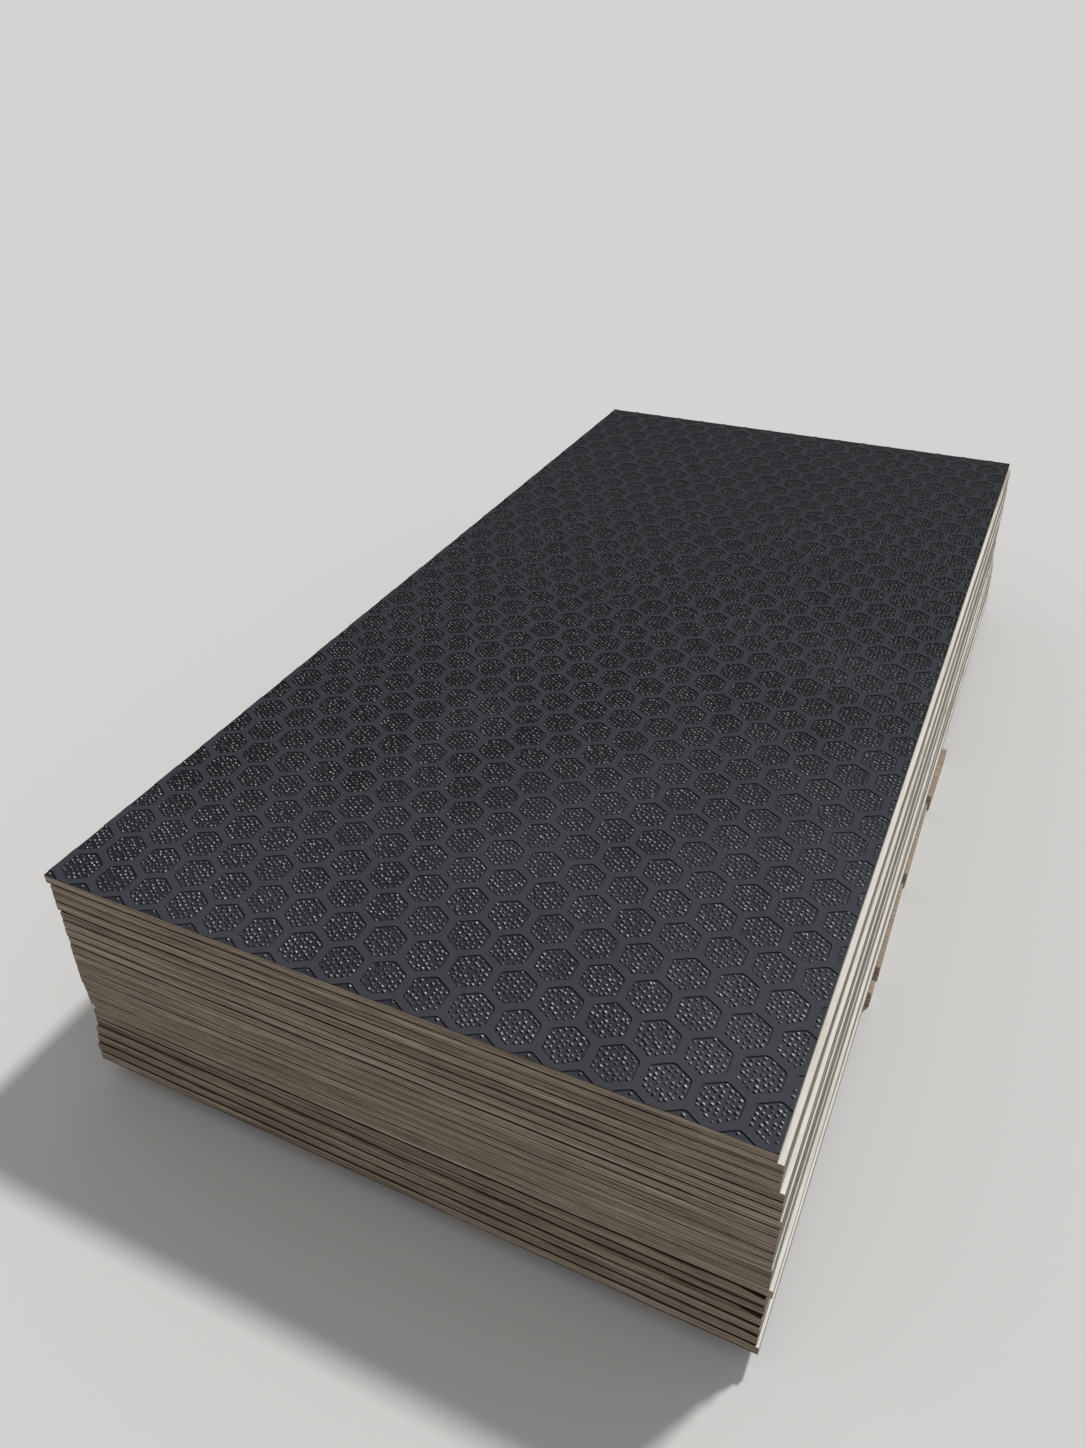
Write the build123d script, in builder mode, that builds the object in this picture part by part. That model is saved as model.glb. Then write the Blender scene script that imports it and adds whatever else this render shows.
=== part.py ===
from build123d import *
import os
from math import cos, floor, radians, sin, sqrt

# Stack of film-faced plywood sheets, lying on timber bearers.
# Millimetres. X runs across the sheets, Y along them and away from the viewer, Z up.
# The origin is on the floor, under the middle of the stack's footprint.

# Sheets: a full 4 ft by 8 ft panel
sheet_width = 1220.0
sheet_length = 2440.0
sheet_thickness = 18.0

# How each sheet lies, from the top one down: mm to the right of the top sheet,
# mm towards the viewer, and degrees turned anticlockwise. The sheets came off the
# press in small lots, so they lie in groups that share a right-hand edge, and the
# lowest ones step further out towards the viewer.
sheet_lay = [
    (0.0, 0.0, 0.00),
    (8.1, 1.4, 0.05),
    (7.8, 2.0, 0.05),
    (8.0, 3.1, 0.06),
    (12.6, 4.5, 0.17),
    (13.0, 6.0, 0.17),
    (12.8, 7.1, 0.18),
    (15.4, 8.2, 0.17),
    (14.6, 9.7, 0.16),
    (14.2, 10.4, 0.16),
    (14.4, 10.7, 0.15),
    (13.9, 11.4, 0.15),
    (14.1, 12.1, 0.15),
    (16.0, 11.9, 0.14),
    (15.6, 11.1, 0.14),
    (15.9, 11.4, 0.14),
    (20.7, 10.0, 0.20),
    (19.3, 13.1, -0.06),
    (19.7, 14.7, -0.05),
    (20.8, 21.3, -0.12),
    (21.3, 24.7, -0.11),
    (21.0, 29.0, -0.13),
    (25.0, 32.0, -0.12),
]

# Anti-slip film pressed onto the upper face of the top sheet
film_thickness = 1.2
recess_depth = 0.8
recess_width = 62.6     # across the flats of one hexagonal recess
land_width = 10.0       # smooth raised band between two recesses
left_land = 10.7        # from the sheet's left edge to the first recess
near_land = 4.9         # from the near edge to the points of the first row

# Timber bearers, flat and crosswise under the bottom sheet
bearer_height = 38.0
bearer_chamfer = 3.0
# name, width, middle along Y from the top sheet's middle, right-hand end past the
# bottom sheet's edge, degrees turned anticlockwise
bearer_lay = [
    ("bearer_batten", 38.0, -507.0, 6.0, 0.0),
    ("bearer_plank_near", 260.0, -330.0, 6.0, 0.7),
    ("bearer_plank_middle", 265.0, -34.5, 6.0, 0.3),
    ("bearer_plank_far", 211.0, 242.5, 11.0, -0.8),
]
bearer_length = sheet_width

# Worked out from the sizes above
sheet_count = len(sheet_lay)
film_top = bearer_height + sheet_count * sheet_thickness
film_bottom = film_top - film_thickness
recess_radius = recess_width / sqrt(3)
cell_pitch = recess_width + land_width
row_pitch = cell_pitch * sqrt(3) / 2
first_cell_x = -sheet_width / 2 + left_land + recess_width / 2
first_cell_y = -sheet_length / 2 + near_land + recess_radius


def footprint(width, length, x, y, turn):
    """The corners of a turned rectangle whose middle is at x, y."""
    c = cos(radians(turn))
    s = sin(radians(turn))
    halves = [(i * width / 2, j * length / 2) for i in (-1, 1) for j in (-1, 1)]
    return [(x + c * i - s * j, y + s * i + c * j) for i, j in halves]


# Places before the stack is centred on its footprint: width, length, x, y, turn
sheet_places = [
    (sheet_width, sheet_length, right, -forward, turn)
    for right, forward, turn in sheet_lay
]
bottom_sheet_edge = sheet_lay[-1][0] + sheet_width / 2
bearer_places = [
    (bearer_length, width, bottom_sheet_edge + past_edge - bearer_length / 2, y, turn)
    for name, width, y, past_edge, turn in bearer_lay
]
corners = [
    corner
    for place in sheet_places + bearer_places
    for corner in footprint(*place)
]
centre_x = (min(x for x, y in corners) + max(x for x, y in corners)) / 2
centre_y = (min(y for x, y in corners) + max(y for x, y in corners)) / 2


def lying_plane(place, z):
    """A level plane under a piece, turned as the piece is."""
    width, length, x, y, turn = place
    along = (cos(radians(turn)), sin(radians(turn)), 0)
    return Plane(origin=(x - centre_x, y - centre_y, z), x_dir=along, z_dir=(0, 0, 1))


def recess_outline(x, y):
    """The rim of one recess, with its points towards the short edges."""
    bearings = [radians(30 + 60 * side) for side in range(6)]
    return Wire.make_polygon(
        [(x + recess_radius * cos(a), y + recess_radius * sin(a)) for a in bearings]
    )


os.makedirs("parts", exist_ok=True)

# Plywood sheets, from the top one down. The top sheet's wood stops under its film.
for number, place in enumerate(sheet_places, start=1):
    underside = film_top - number * sheet_thickness
    wood = sheet_thickness - film_thickness if number == 1 else sheet_thickness
    with BuildPart() as sheet:
        with BuildSketch(lying_plane(place, underside)):
            Rectangle(sheet_width, sheet_length)
        extrude(amount=wood)
    sheet.part.label = f"sheet_{number:02d}"
    export_step(sheet.part, f"parts/{sheet.part.label}.step")

# Film with rows of whole hexagonal recesses, their points towards the short edges.
# Every second row is moved half a cell to the right.
last_cell_x = sheet_width / 2 - recess_width / 2
last_cell_y = sheet_length / 2 - recess_radius
column_count = floor((last_cell_x - first_cell_x) / cell_pitch - 0.5) + 1
row_count = floor((last_cell_y - first_cell_y) / row_pitch) + 1
cell_centres = [
    (first_cell_x + cell_pitch * (column + row % 2 / 2), first_cell_y + row_pitch * row)
    for row in range(row_count)
    for column in range(column_count)
]
lands = Face(
    Wire.make_rect(sheet_width, sheet_length),
    [recess_outline(x, y) for x, y in cell_centres],
)
with BuildPart() as top_sheet_film:
    with BuildSketch(lying_plane(sheet_places[0], film_bottom)):
        Rectangle(sheet_width, sheet_length)
    extrude(amount=film_thickness - recess_depth)
    with BuildSketch(lying_plane(sheet_places[0], film_top - recess_depth)):
        add(lands)
    extrude(amount=recess_depth)
top_sheet_film.part.label = "top_sheet_film"
export_step(top_sheet_film.part, "parts/top_sheet_film.step")

# Bearers, with the long edges eased as planed timber has them
for (name, width, *lay), place in zip(bearer_lay, bearer_places):
    with BuildPart() as bearer:
        with BuildSketch(lying_plane(place, 0)):
            Rectangle(bearer_length, width)
        extrude(amount=bearer_height)
        grain = lying_plane(place, 0).x_dir
        chamfer(bearer.edges().filter_by(Axis((0, 0, 0), grain)), bearer_chamfer)
    bearer.part.label = name
    export_step(bearer.part, f"parts/{name}.step")

print("stack height", film_top, "middle of the top sheet", -centre_x, -centre_y)
print("recesses", len(cell_centres), "in", row_count, "rows")
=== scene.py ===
"""Looks of a stack of full-size plywood sheets on timber bearers.

The top sheet carries a dark anti-slip film, pressed into hexagonal recesses that hold
small studs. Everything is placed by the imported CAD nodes, in metres: X across the
sheets, Y along them and away from the camera, Z up.
"""

import logging
import math
from collections.abc import Iterable
from dataclasses import dataclass
from enum import Enum, IntEnum

import bmesh
import bpy
import numpy as np
from bpy.types import Material, Mesh, Node, NodeSocket, NodeTree, Object
from mathutils import Matrix, Vector


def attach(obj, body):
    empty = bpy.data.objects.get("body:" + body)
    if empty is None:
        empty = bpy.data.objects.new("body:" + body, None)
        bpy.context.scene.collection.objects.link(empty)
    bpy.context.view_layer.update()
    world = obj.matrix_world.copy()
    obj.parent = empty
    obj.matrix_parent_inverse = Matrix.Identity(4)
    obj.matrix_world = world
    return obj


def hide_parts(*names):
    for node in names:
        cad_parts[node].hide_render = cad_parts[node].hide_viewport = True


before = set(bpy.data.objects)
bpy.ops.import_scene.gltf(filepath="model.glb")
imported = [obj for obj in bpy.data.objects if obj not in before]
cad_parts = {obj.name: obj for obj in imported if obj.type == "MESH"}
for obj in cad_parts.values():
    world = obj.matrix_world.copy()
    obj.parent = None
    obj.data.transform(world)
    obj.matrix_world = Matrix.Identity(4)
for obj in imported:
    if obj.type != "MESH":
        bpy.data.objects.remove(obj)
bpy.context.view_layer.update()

LOG = logging.getLogger("plywood_stack")
MM = 0.001
SHEET_COUNT = 23
SHEET_WIDTH = 1220.0
SHEET_LENGTH = 2440.0
SHEET_THICKNESS = 18.0
BEARER_HEIGHT = 38.0
STACK_HEIGHT = BEARER_HEIGHT + SHEET_COUNT * SHEET_THICKNESS
FILM_THICKNESS = 1.2
PLIES = 7
HEXAGON = 6

MATH = "ShaderNodeMath"
VECTOR = "ShaderNodeVectorMath"
SPLIT = "ShaderNodeSeparateXYZ"
JOIN = "ShaderNodeCombineXYZ"
MIX = "ShaderNodeMix"
RAMP = "ShaderNodeValToRGB"
RANGE = "ShaderNodeMapRange"
INSTANCES = "GeometryNodeInstanceOnPoints"
REALIZE = "GeometryNodeRealizeInstances"
Sockets = dict[int | str, object]


def linear(hex_colour: str) -> tuple[float, float, float, float]:
    """Turns an sRGB hex colour into the linear colour that a shader takes.

    Args:
        hex_colour: six hex digits, with or without a leading hash.

    Returns:
        Red, green, blue and an alpha of 1.
    """
    digits = hex_colour.lstrip("#")
    channels = [int(digits[i : i + 2], 16) / 255 for i in (0, 2, 4)]
    return (*(c / 12.92 if c <= 0.04045 else ((c + 0.055) / 1.055) ** 2.4 for c in channels), 1.0)


def fill(tree: NodeTree, node: Node, sockets: Sockets) -> None:
    """Sets a node's inputs, or links them to other nodes.

    Args:
        tree: the node tree that the node is in.
        node: the node.
        sockets: input number or name, to a value or to another node's output.
    """
    for key, value in sockets.items():
        usable = [s for s in node.inputs if s.enabled and s.name == key]
        socket = usable[0] if usable else node.inputs[key]
        if isinstance(value, NodeSocket):
            tree.links.new(value, socket)
        else:
            socket.default_value = value


def add(
    tree: NodeTree,
    kind: str,
    sockets: Sockets | None = None,
    stops: tuple[tuple[float, str], ...] = (),
    **settings: object,
) -> NodeSocket:
    """Adds a node with its settings, and fills or links its inputs.

    Args:
        tree: the node tree that gets the node.
        kind: the node's type name, or the operation of a math node.
        sockets: input number or name, to a value or to another node's output.
        stops: a colour ramp's places and sRGB hex colours, in rising order.
        **settings: the node's own properties.

    Returns:
        The first output that the node has in use.
    """
    if "Node" not in kind:
        kind, settings["operation"] = MATH, kind
    made = tree.nodes.new(kind)
    for name, value in settings.items():
        setattr(made, name, value)
    for number, (place, colour) in enumerate(stops):
        if number == len(made.color_ramp.elements):
            made.color_ramp.elements.new(place)
        made.color_ramp.elements[number].position = place
        made.color_ramp.elements[number].color = linear(colour)
    fill(tree, made, sockets or {})
    return next((s for s in made.outputs if s.enabled), None)


def total(tree: NodeTree, parts: Iterable[tuple[NodeSocket, float]], start: object = 0.0) -> NodeSocket:
    """Adds values up, each by its own weight.

    Args:
        tree: the node tree.
        parts: the values with their weights.
        start: the value that they are added to.

    Returns:
        The sum.
    """
    for value, weight in parts:
        start = add(tree, "MULTIPLY_ADD", {0: value, 1: weight, 2: start})
    return start


def coat(
    tree: NodeTree, colour: NodeSocket | str, layers: Iterable[tuple[NodeSocket, float, NodeSocket | str]]
) -> NodeSocket:
    """Lays colours over a colour, one after another.

    Args:
        tree: the material's node tree.
        colour: what lies under them.
        layers: where each one lies, how strong it is there, and its colour.

    Returns:
        The colour on top.
    """
    for mask, strength, paint in layers:
        if strength != 1:
            mask = add(tree, "MULTIPLY", {0: mask, 1: strength})
        under, over = (linear(c) if isinstance(c, str) else c for c in (colour, paint))
        colour = add(tree, MIX, {"Factor": mask, "A": under, "B": over}, data_type="RGBA")
    return colour


@dataclass(frozen=True)
class Figure:
    """An irregular natural pattern: how long its marks are along each axis, and its levels.

    It is 0 where the noise is at the low level and 1 where it is at the high one.
    """

    x_mm: float
    y_mm: float
    z_mm: float
    detail: float = 2.0
    low: float = 0.0
    high: float = 1.0
    roughness: float = 0.55

    def draw(self, tree: NodeTree, place: NodeSocket) -> NodeSocket:
        """Draws the pattern.

        Args:
            tree: the material's node tree.
            place: the coordinates, in metres.

        Returns:
            The pattern, from 0 to 1.
        """
        scale = [1 / (size * MM) for size in (self.x_mm, self.y_mm, self.z_mm)]
        scaled = add(tree, "ShaderNodeMapping", {"Vector": place, "Scale": scale})
        levels = {"Vector": scaled, "Scale": 1.0, "Detail": self.detail, "Roughness": self.roughness}
        noise = add(tree, "ShaderNodeTexNoise", levels)
        if (self.low, self.high) == (0.0, 1.0):
            return noise
        return add(tree, RANGE, {"Value": noise, "From Min": self.low, "From Max": self.high})


def new_material(name: str) -> tuple[Material, NodeTree, NodeSocket]:
    """Starts a material.

    Args:
        name: the real finish that it is.

    Returns:
        The material, its node tree and its Object coordinates.
    """
    material = bpy.data.materials.new(name)
    material.use_nodes = True
    place = add(material.node_tree, "ShaderNodeTexCoord").node.outputs["Object"]
    return material, material.node_tree, place


def surface(
    material: Material,
    colour: object,
    roughness: object,
    specular: float,
    relief: tuple[NodeSocket, float, float] | None = None,
) -> Material:
    """Gives a material its surface.

    Args:
        material: the material, with its Principled BSDF node.
        colour: its colour, a value or a node's output.
        roughness: its roughness, a value or a node's output.
        specular: its specular level.
        relief: the height of its fine relief, how strong it is and its depth in millimetres.

    Returns:
        The same material.
    """
    sockets = {"Base Color": colour, "Roughness": roughness, "Specular IOR Level": specular}
    tree = material.node_tree
    if relief:
        height, strength, depth = relief
        bump = {"Height": height, "Strength": strength, "Distance": depth * MM}
        sockets["Normal"] = add(tree, "ShaderNodeBump", bump)
    fill(tree, tree.nodes["Principled BSDF"], sockets)
    return material


class EdgeRun(Enum):
    """Which way a sheet's edge runs, and so which way its pattern is drawn out."""

    ACROSS = "X"
    ALONG = "Y"


@dataclass(frozen=True)
class PlywoodEdge:
    """Sawn edge of plywood: rotary-cut veneers, their grain turned at every glue line.

    Plies whose grain runs along the edge show long streaks. Those between them show end
    grain, which gets dirtier and looks darker. Each ply comes from another log, so its
    streaks start anew. The top arris of each sheet is painted pale as a painted highlight,
    and the lowest 2 mm or so of each sheet is painted dark as painted shade of the seam
    under it.
    Streaks and glue lines are drawn wider than the real ones, so that they show.
    """

    # To the eye: a dry, matt edge in thin, streaky layers, with a dark line of painted shade at each seam
    # and a pale line of painted highlight on each top arris.
    name: str
    run: EdgeRun
    pale: str
    body: str
    dark: str
    seam: str
    streak_mm: float = 230.0
    across_mm: float = 9.0
    slip_mm: float = 731.0
    # Height of the pale band painted along each top arris as a highlight.
    arris_highlight_mm: float = 0.9
    # The painted shade at each sheet's bottom reaches up to twice this.
    seam_shade_mm: float = 2.0
    sheet_share: float = 0.14
    glue_share: float = 0.9

    def figure(self, along: float, up_mm: float, detail: float, low: float, high: float) -> Figure:
        """Gives a pattern that is drawn out along the edge.

        Args:
            along: its length, as a share of one streak.
            up_mm: its height.
            detail: how many finer layers it has.
            low: the noise level that becomes 0.
            high: the noise level that becomes 1.

        Returns:
            The pattern.
        """
        sizes = [along * self.streak_mm, self.across_mm]
        if self.run is EdgeRun.ALONG:
            sizes.reverse()
        return Figure(*sizes, up_mm, detail, low, high)

    def make(self) -> Material:
        """Builds the material.

        Returns:
            The material, on Object coordinates.
        """
        material, tree, place = new_material(self.name)
        height = add(tree, SPLIT, {0: place}).node.outputs["Z"]
        over_bearers = add(tree, "SUBTRACT", {0: height, 1: BEARER_HEIGHT * MM})
        in_stack = add(tree, "DIVIDE", {0: over_bearers, 1: SHEET_THICKNESS * MM})
        sheet = add(tree, "FLOOR", {0: in_stack})
        within = add(tree, "FRACT", {0: in_stack})
        ply_place = add(tree, "MULTIPLY", {0: within, 1: PLIES})
        ply = add(tree, "FLOOR", {0: ply_place})
        layer = add(tree, "MULTIPLY_ADD", {0: sheet, 1: PLIES, 2: ply})
        ply_tone, sheet_tone = (
            add(tree, "ShaderNodeTexWhiteNoise", {"W": number}, noise_dimensions="1D")
            for number in (layer, sheet)
        )
        slip = add(tree, "MULTIPLY", {0: layer, 1: self.slip_mm * MM})
        in_ply = add(tree, VECTOR, {0: place, 1: add(tree, JOIN, {"X": slip, "Y": slip})}, operation="ADD")

        streaks = self.figure(1.0, 2.2, 3.0, 0.30, 0.70).draw(tree, in_ply)
        patches = self.figure(1.7, 8.0, 2.0, 0.25, 0.75).draw(tree, place)
        fibres = self.figure(0.10, 1.6, 2.0, 0.25, 0.75).draw(tree, in_ply)
        grain = [(streaks, 0.38), (patches, 0.22), (fibres, 0.16)]
        tone = total(tree, [*grain, (ply_tone, 0.10), (sheet_tone, self.sheet_share)])
        stops = ((0.28, self.dark), (0.44, self.body), (0.54, self.body), (0.72, self.pale))
        colour = add(tree, RAMP, {"Fac": tone}, stops)

        # Every second ply shows end grain. On the crosscut ends the outer ones are among them.
        turned = add(tree, "ADD", {0: ply, 1: 1.0 if self.run is EdgeRun.ACROSS else 0.0})
        end_grain = add(tree, "MODULO", {0: turned, 1: 2.0})
        to_glue = add(tree, "PINGPONG", {0: ply_place, 1: 0.5})
        line = add(tree, RANGE, {"Value": to_glue, "From Min": 0.34, "From Max": 0.16})
        breaks = self.figure(0.7, 2.6, 2.0, 0.44, 0.58).draw(tree, place)
        glue = add(tree, "MULTIPLY", {0: line, 1: breaks})
        flecks = self.figure(0.28, 2.4, 3.0, 0.66, 0.72).draw(tree, place)
        # Painted highlight: a pale band along the top arris of each sheet.
        arris = add(tree, "GREATER_THAN", {0: within, 1: 1 - self.arris_highlight_mm / SHEET_THICKNESS})
        # Painted shade: a dark band of wavy height at each sheet's bottom, over the seam under it.
        wave = self.figure(0.6, 40.0, 3.0, 0.25, 0.75).draw(tree, place)
        reach = add(tree, "MULTIPLY", {0: wave, 1: 2 * self.seam_shade_mm / SHEET_THICKNESS})
        seam_shade = add(tree, "LESS_THAN", {0: within, 1: reach})
        layers = [
            (end_grain, 0.36, self.dark),
            (glue, self.glue_share, self.seam),
            (flecks, 0.6, self.seam),
            (arris, 0.6, self.pale),
            (seam_shade, 0.95, self.seam),
        ]
        relief = total(tree, [(end_grain, 0.35)], streaks)
        return surface(material, coat(tree, colour, layers), 0.86, 0.2, (relief, 0.5, 0.4))


@dataclass(frozen=True)
class BareVeneer:
    """Bare face veneer of a sheet: rotary cut and sanded, its grain along the sheet.

    It greys a little towards the far end, where the photograph shows the ledges duller.
    """

    # To the eye: almost white, matt wood with faint streaks along the sheet.
    name: str = "bare face veneer, sanded"
    pale: str = "#f3f0ea"
    body: str = "#e2dcd2"
    dark: str = "#b3a999"
    figure: Figure = Figure(46.0, 700.0, 60.0, 4.0)
    fibres: Figure = Figure(2.4, 60.0, 40.0, 3.0)
    greying_per_m: float = 0.06

    def make(self) -> Material:
        """Builds the material.

        Returns:
            The material, on Object coordinates.
        """
        material, tree, place = new_material(self.name)
        broad, fine = self.figure.draw(tree, place), self.fibres.draw(tree, place)
        along = add(tree, SPLIT, {0: place}).node.outputs["Y"]
        tone = total(tree, [(broad, 0.55), (fine, 0.45), (along, -self.greying_per_m)])
        colour = add(tree, RAMP, {"Fac": tone}, ((0.34, self.dark), (0.48, self.body), (0.66, self.pale)))
        return surface(material, colour, 0.8, 0.3, (fine, 0.4, 0.2))


@dataclass(frozen=True)
class ShadedStainedStrip:
    """Face veneer along the crosscut ends, darkened with yard stain and with painted shade."""

    # To the eye: dull, streaky brown, darker than the bare veneer by yard stain and painted shade, so that
    # the end ledges don't shine out.
    name: str = "face veneer, yard-stained, with painted shade"
    # Yard stain with painted shade: both colours are darker than the bare veneer.
    pale: str = "#b9a791"
    dark: str = "#7b6b5c"
    streaks: Figure = Figure(70.0, 5.0, 40.0, 4.0)

    def make(self) -> Material:
        """Builds the material.

        Returns:
            The material, on Object coordinates.
        """
        material, tree, place = new_material(self.name)
        streaks = self.streaks.draw(tree, place)
        colour = add(tree, RAMP, {"Fac": streaks}, ((0.38, self.dark), (0.70, self.pale)))
        return surface(material, colour, 0.9, 0.2)


@dataclass(frozen=True)
class FilmRelief:
    """What the film's finishes share: depth below the lands, dust with a painted sheen, and painted shade.

    The side of each wall and stud that faces the near left, away from the light, is painted
    near black as shade. Yard dust lies all over in clouds and specks, and a painted sheen
    makes the film paler towards the near right corner, thinning out from there.
    """

    land: str = "#37393f"
    # The lands where dust and painted sheen are strongest.
    land_dust_sheen: str = "#4a4b51"
    # Painted shade: the recess floor is darker than the lands.
    floor: str = "#1f2023"
    floor_dust_sheen: str = "#4c4d53"
    # Painted shade: near black on the walls and studs that face away from the light.
    painted_shade_colour: str = "#050506"
    away_from_light: tuple[float, float, float] = (-0.43, -0.90, 0.0)
    depth_mm: float = 1.1
    clouds: Figure = Figure(170.0, 260.0, 170.0, 4.0, 0.30, 0.75)
    specks: Figure = Figure(6.0, 6.0, 6.0, 4.0, 0.45, 0.80)
    least_dust: float = 0.01
    # Painted sheen: the film pales by this much per metre, towards the near right corner.
    sheen_per_m: tuple[float, float] = (0.28, -0.34)

    def depth(self, tree: NodeTree, axes: Node) -> NodeSocket:
        """Gives the depth below the lands, as a share of the recess's own depth."""
        down = add(tree, "SUBTRACT", {0: STACK_HEIGHT * MM, 1: axes.outputs["Z"]})
        return add(tree, "DIVIDE", {0: down, 1: self.depth_mm * MM})

    def shade_facing(self, tree: NodeTree) -> NodeSocket:
        """Gives how far a face leans towards the near left, away from the light, below 0 if it leans away.
        """
        normal = add(tree, "ShaderNodeNewGeometry").node.outputs["Normal"]
        return add(tree, VECTOR, {0: normal, 1: self.away_from_light}, operation="DOT_PRODUCT")

    def draw_dust_and_sheen(self, tree: NodeTree, place: NodeSocket, axes: Node) -> NodeSocket:
        """Draws the dust and the painted sheen.

        Args:
            tree: the material's node tree.
            place: the coordinates, in metres.
            axes: the node that splits them.

        Returns:
            How much dust and painted sheen the film shows, none at 0 and most at 1.
        """
        # Painted sheen: a slope that makes the film paler towards the near right corner.
        slopes = [(axes.outputs[axis], slope) for axis, slope in zip("XY", self.sheen_per_m)]
        marks = [(figure.draw(tree, place), 0.25) for figure in (self.clouds, self.specks)]
        return total(tree, slopes + marks, self.least_dust)

    def pocket(self, tree: NodeTree, dust_and_sheen: NodeSocket) -> NodeSocket:
        """Gives the recess floor's colour: dark as painted recess shade, pale only where dust and painted
        sheen are thick.
        """
        floor_paling = add(tree, RANGE, {"Value": dust_and_sheen, "From Min": 0.24, "From Max": 0.90})
        return coat(tree, self.floor, [(floor_paling, 1, self.floor_dust_sheen)])


@dataclass(frozen=True)
class PhenolicFilm(FilmRelief):
    """Phenolic resin film, hot pressed, over its lands, recess walls and floors."""

    # To the eye: dark, dull grey lands, paler towards the near right with painted sheen, round walls painted
    # nearly black as shade on their near left side, and dark floors of painted recess shade, slightly dusty.
    name: str = "phenolic film, hot pressed, dark grey"
    grain: Figure = Figure(6.0, 6.0, 6.0, 4.0)

    def make(self) -> Material:
        """Builds the material.

        Returns:
            The material, on Object coordinates.
        """
        material, tree, place = new_material(self.name)
        axes = add(tree, SPLIT, {0: place}).node
        level = self.depth(tree, axes)
        dust_and_sheen = self.draw_dust_and_sheen(tree, place, axes)
        land = coat(tree, self.land, [(dust_and_sheen, 1, self.land_dust_sheen)])
        # Painted shade: walls that face the near left, away from the light, turn near black, and the floor
        # takes its darker colour of painted recess shade.
        painted_shade = add(tree, RANGE, {"Value": self.shade_facing(tree), "From Min": 0.05, "From Max": 0.32})
        at_floor = add(tree, RANGE, {"Value": level, "From Min": 0.93, "From Max": 0.985})
        low = coat(tree, land, [(painted_shade, 1, self.painted_shade_colour), (at_floor, 1, self.pocket(tree, dust_and_sheen))])
        sunk = add(tree, RANGE, {"Value": level, "From Min": 0.06, "From Max": 0.16})
        colour = coat(tree, land, [(sunk, 1, low)])
        roughness = add(tree, RANGE, {"Value": dust_and_sheen, "To Min": 0.70, "To Max": 0.90})
        return surface(material, colour, roughness, 0.02, (self.grain.draw(tree, place), 0.25, 0.15))


@dataclass(frozen=True)
class StudFilm(FilmRelief):
    """The same film on the studs: painted shade on the side that faces the near left, away
    from the light, and on top a pale colour on the lit side, painted highlight with wear.

    The painted highlight and the wear grow towards the near end, where the sheet has been
    handled most.
    """

    # To the eye: small pale glints on dark studs, each with a black shadow side.
    name: str = "phenolic film on studs, worn, with painted glints and shade"
    # Painted highlight with wear: the pale colour of the stud tops on their lit side.
    worn: str = "#d4d7db"
    glint_scuffs: Figure = Figure(13.0, 13.0, 13.0, 3.0, 0.34, 0.66)
    glint_wear_at_middle: float = 0.56
    glint_wear_per_m: float = -0.38

    def make(self) -> Material:
        """Builds the material.

        Returns:
            The material, on Object coordinates.
        """
        material, tree, place = new_material(self.name)
        axes = add(tree, SPLIT, {0: place}).node
        side = self.shade_facing(tree)
        body = self.pocket(tree, self.draw_dust_and_sheen(tree, place, axes))
        # The painted highlight and the wear fade towards the far end.
        nearness = total(tree, [(axes.outputs["Y"], self.glint_wear_per_m)], self.glint_wear_at_middle)
        wear = add(tree, "MULTIPLY", {0: self.glint_scuffs.draw(tree, place), 1: nearness})
        # Painted highlight: the upper part of each stud turns pale on its lit side, more where worn and
        # nearer the near end.
        high = add(tree, RANGE, {"Value": self.depth(tree, axes), "From Min": 0.64, "From Max": 0.28})
        lit_side = add(tree, RANGE, {"Value": side, "From Min": 0.08, "From Max": -0.04})
        painted_glint = add(tree, "MULTIPLY", {0: high, 1: lit_side})
        painted_glint = add(tree, "MULTIPLY", {0: painted_glint, 1: wear})
        # Painted shade: each stud's side that faces away from the light turns near black.
        painted_shade = add(tree, RANGE, {"Value": side, "From Min": 0.0, "From Max": 0.09})
        colour = coat(tree, body, [(painted_glint, 1, self.worn), (painted_shade, 1, self.painted_shade_colour)])
        return surface(material, colour, 0.5, 0.1)


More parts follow.
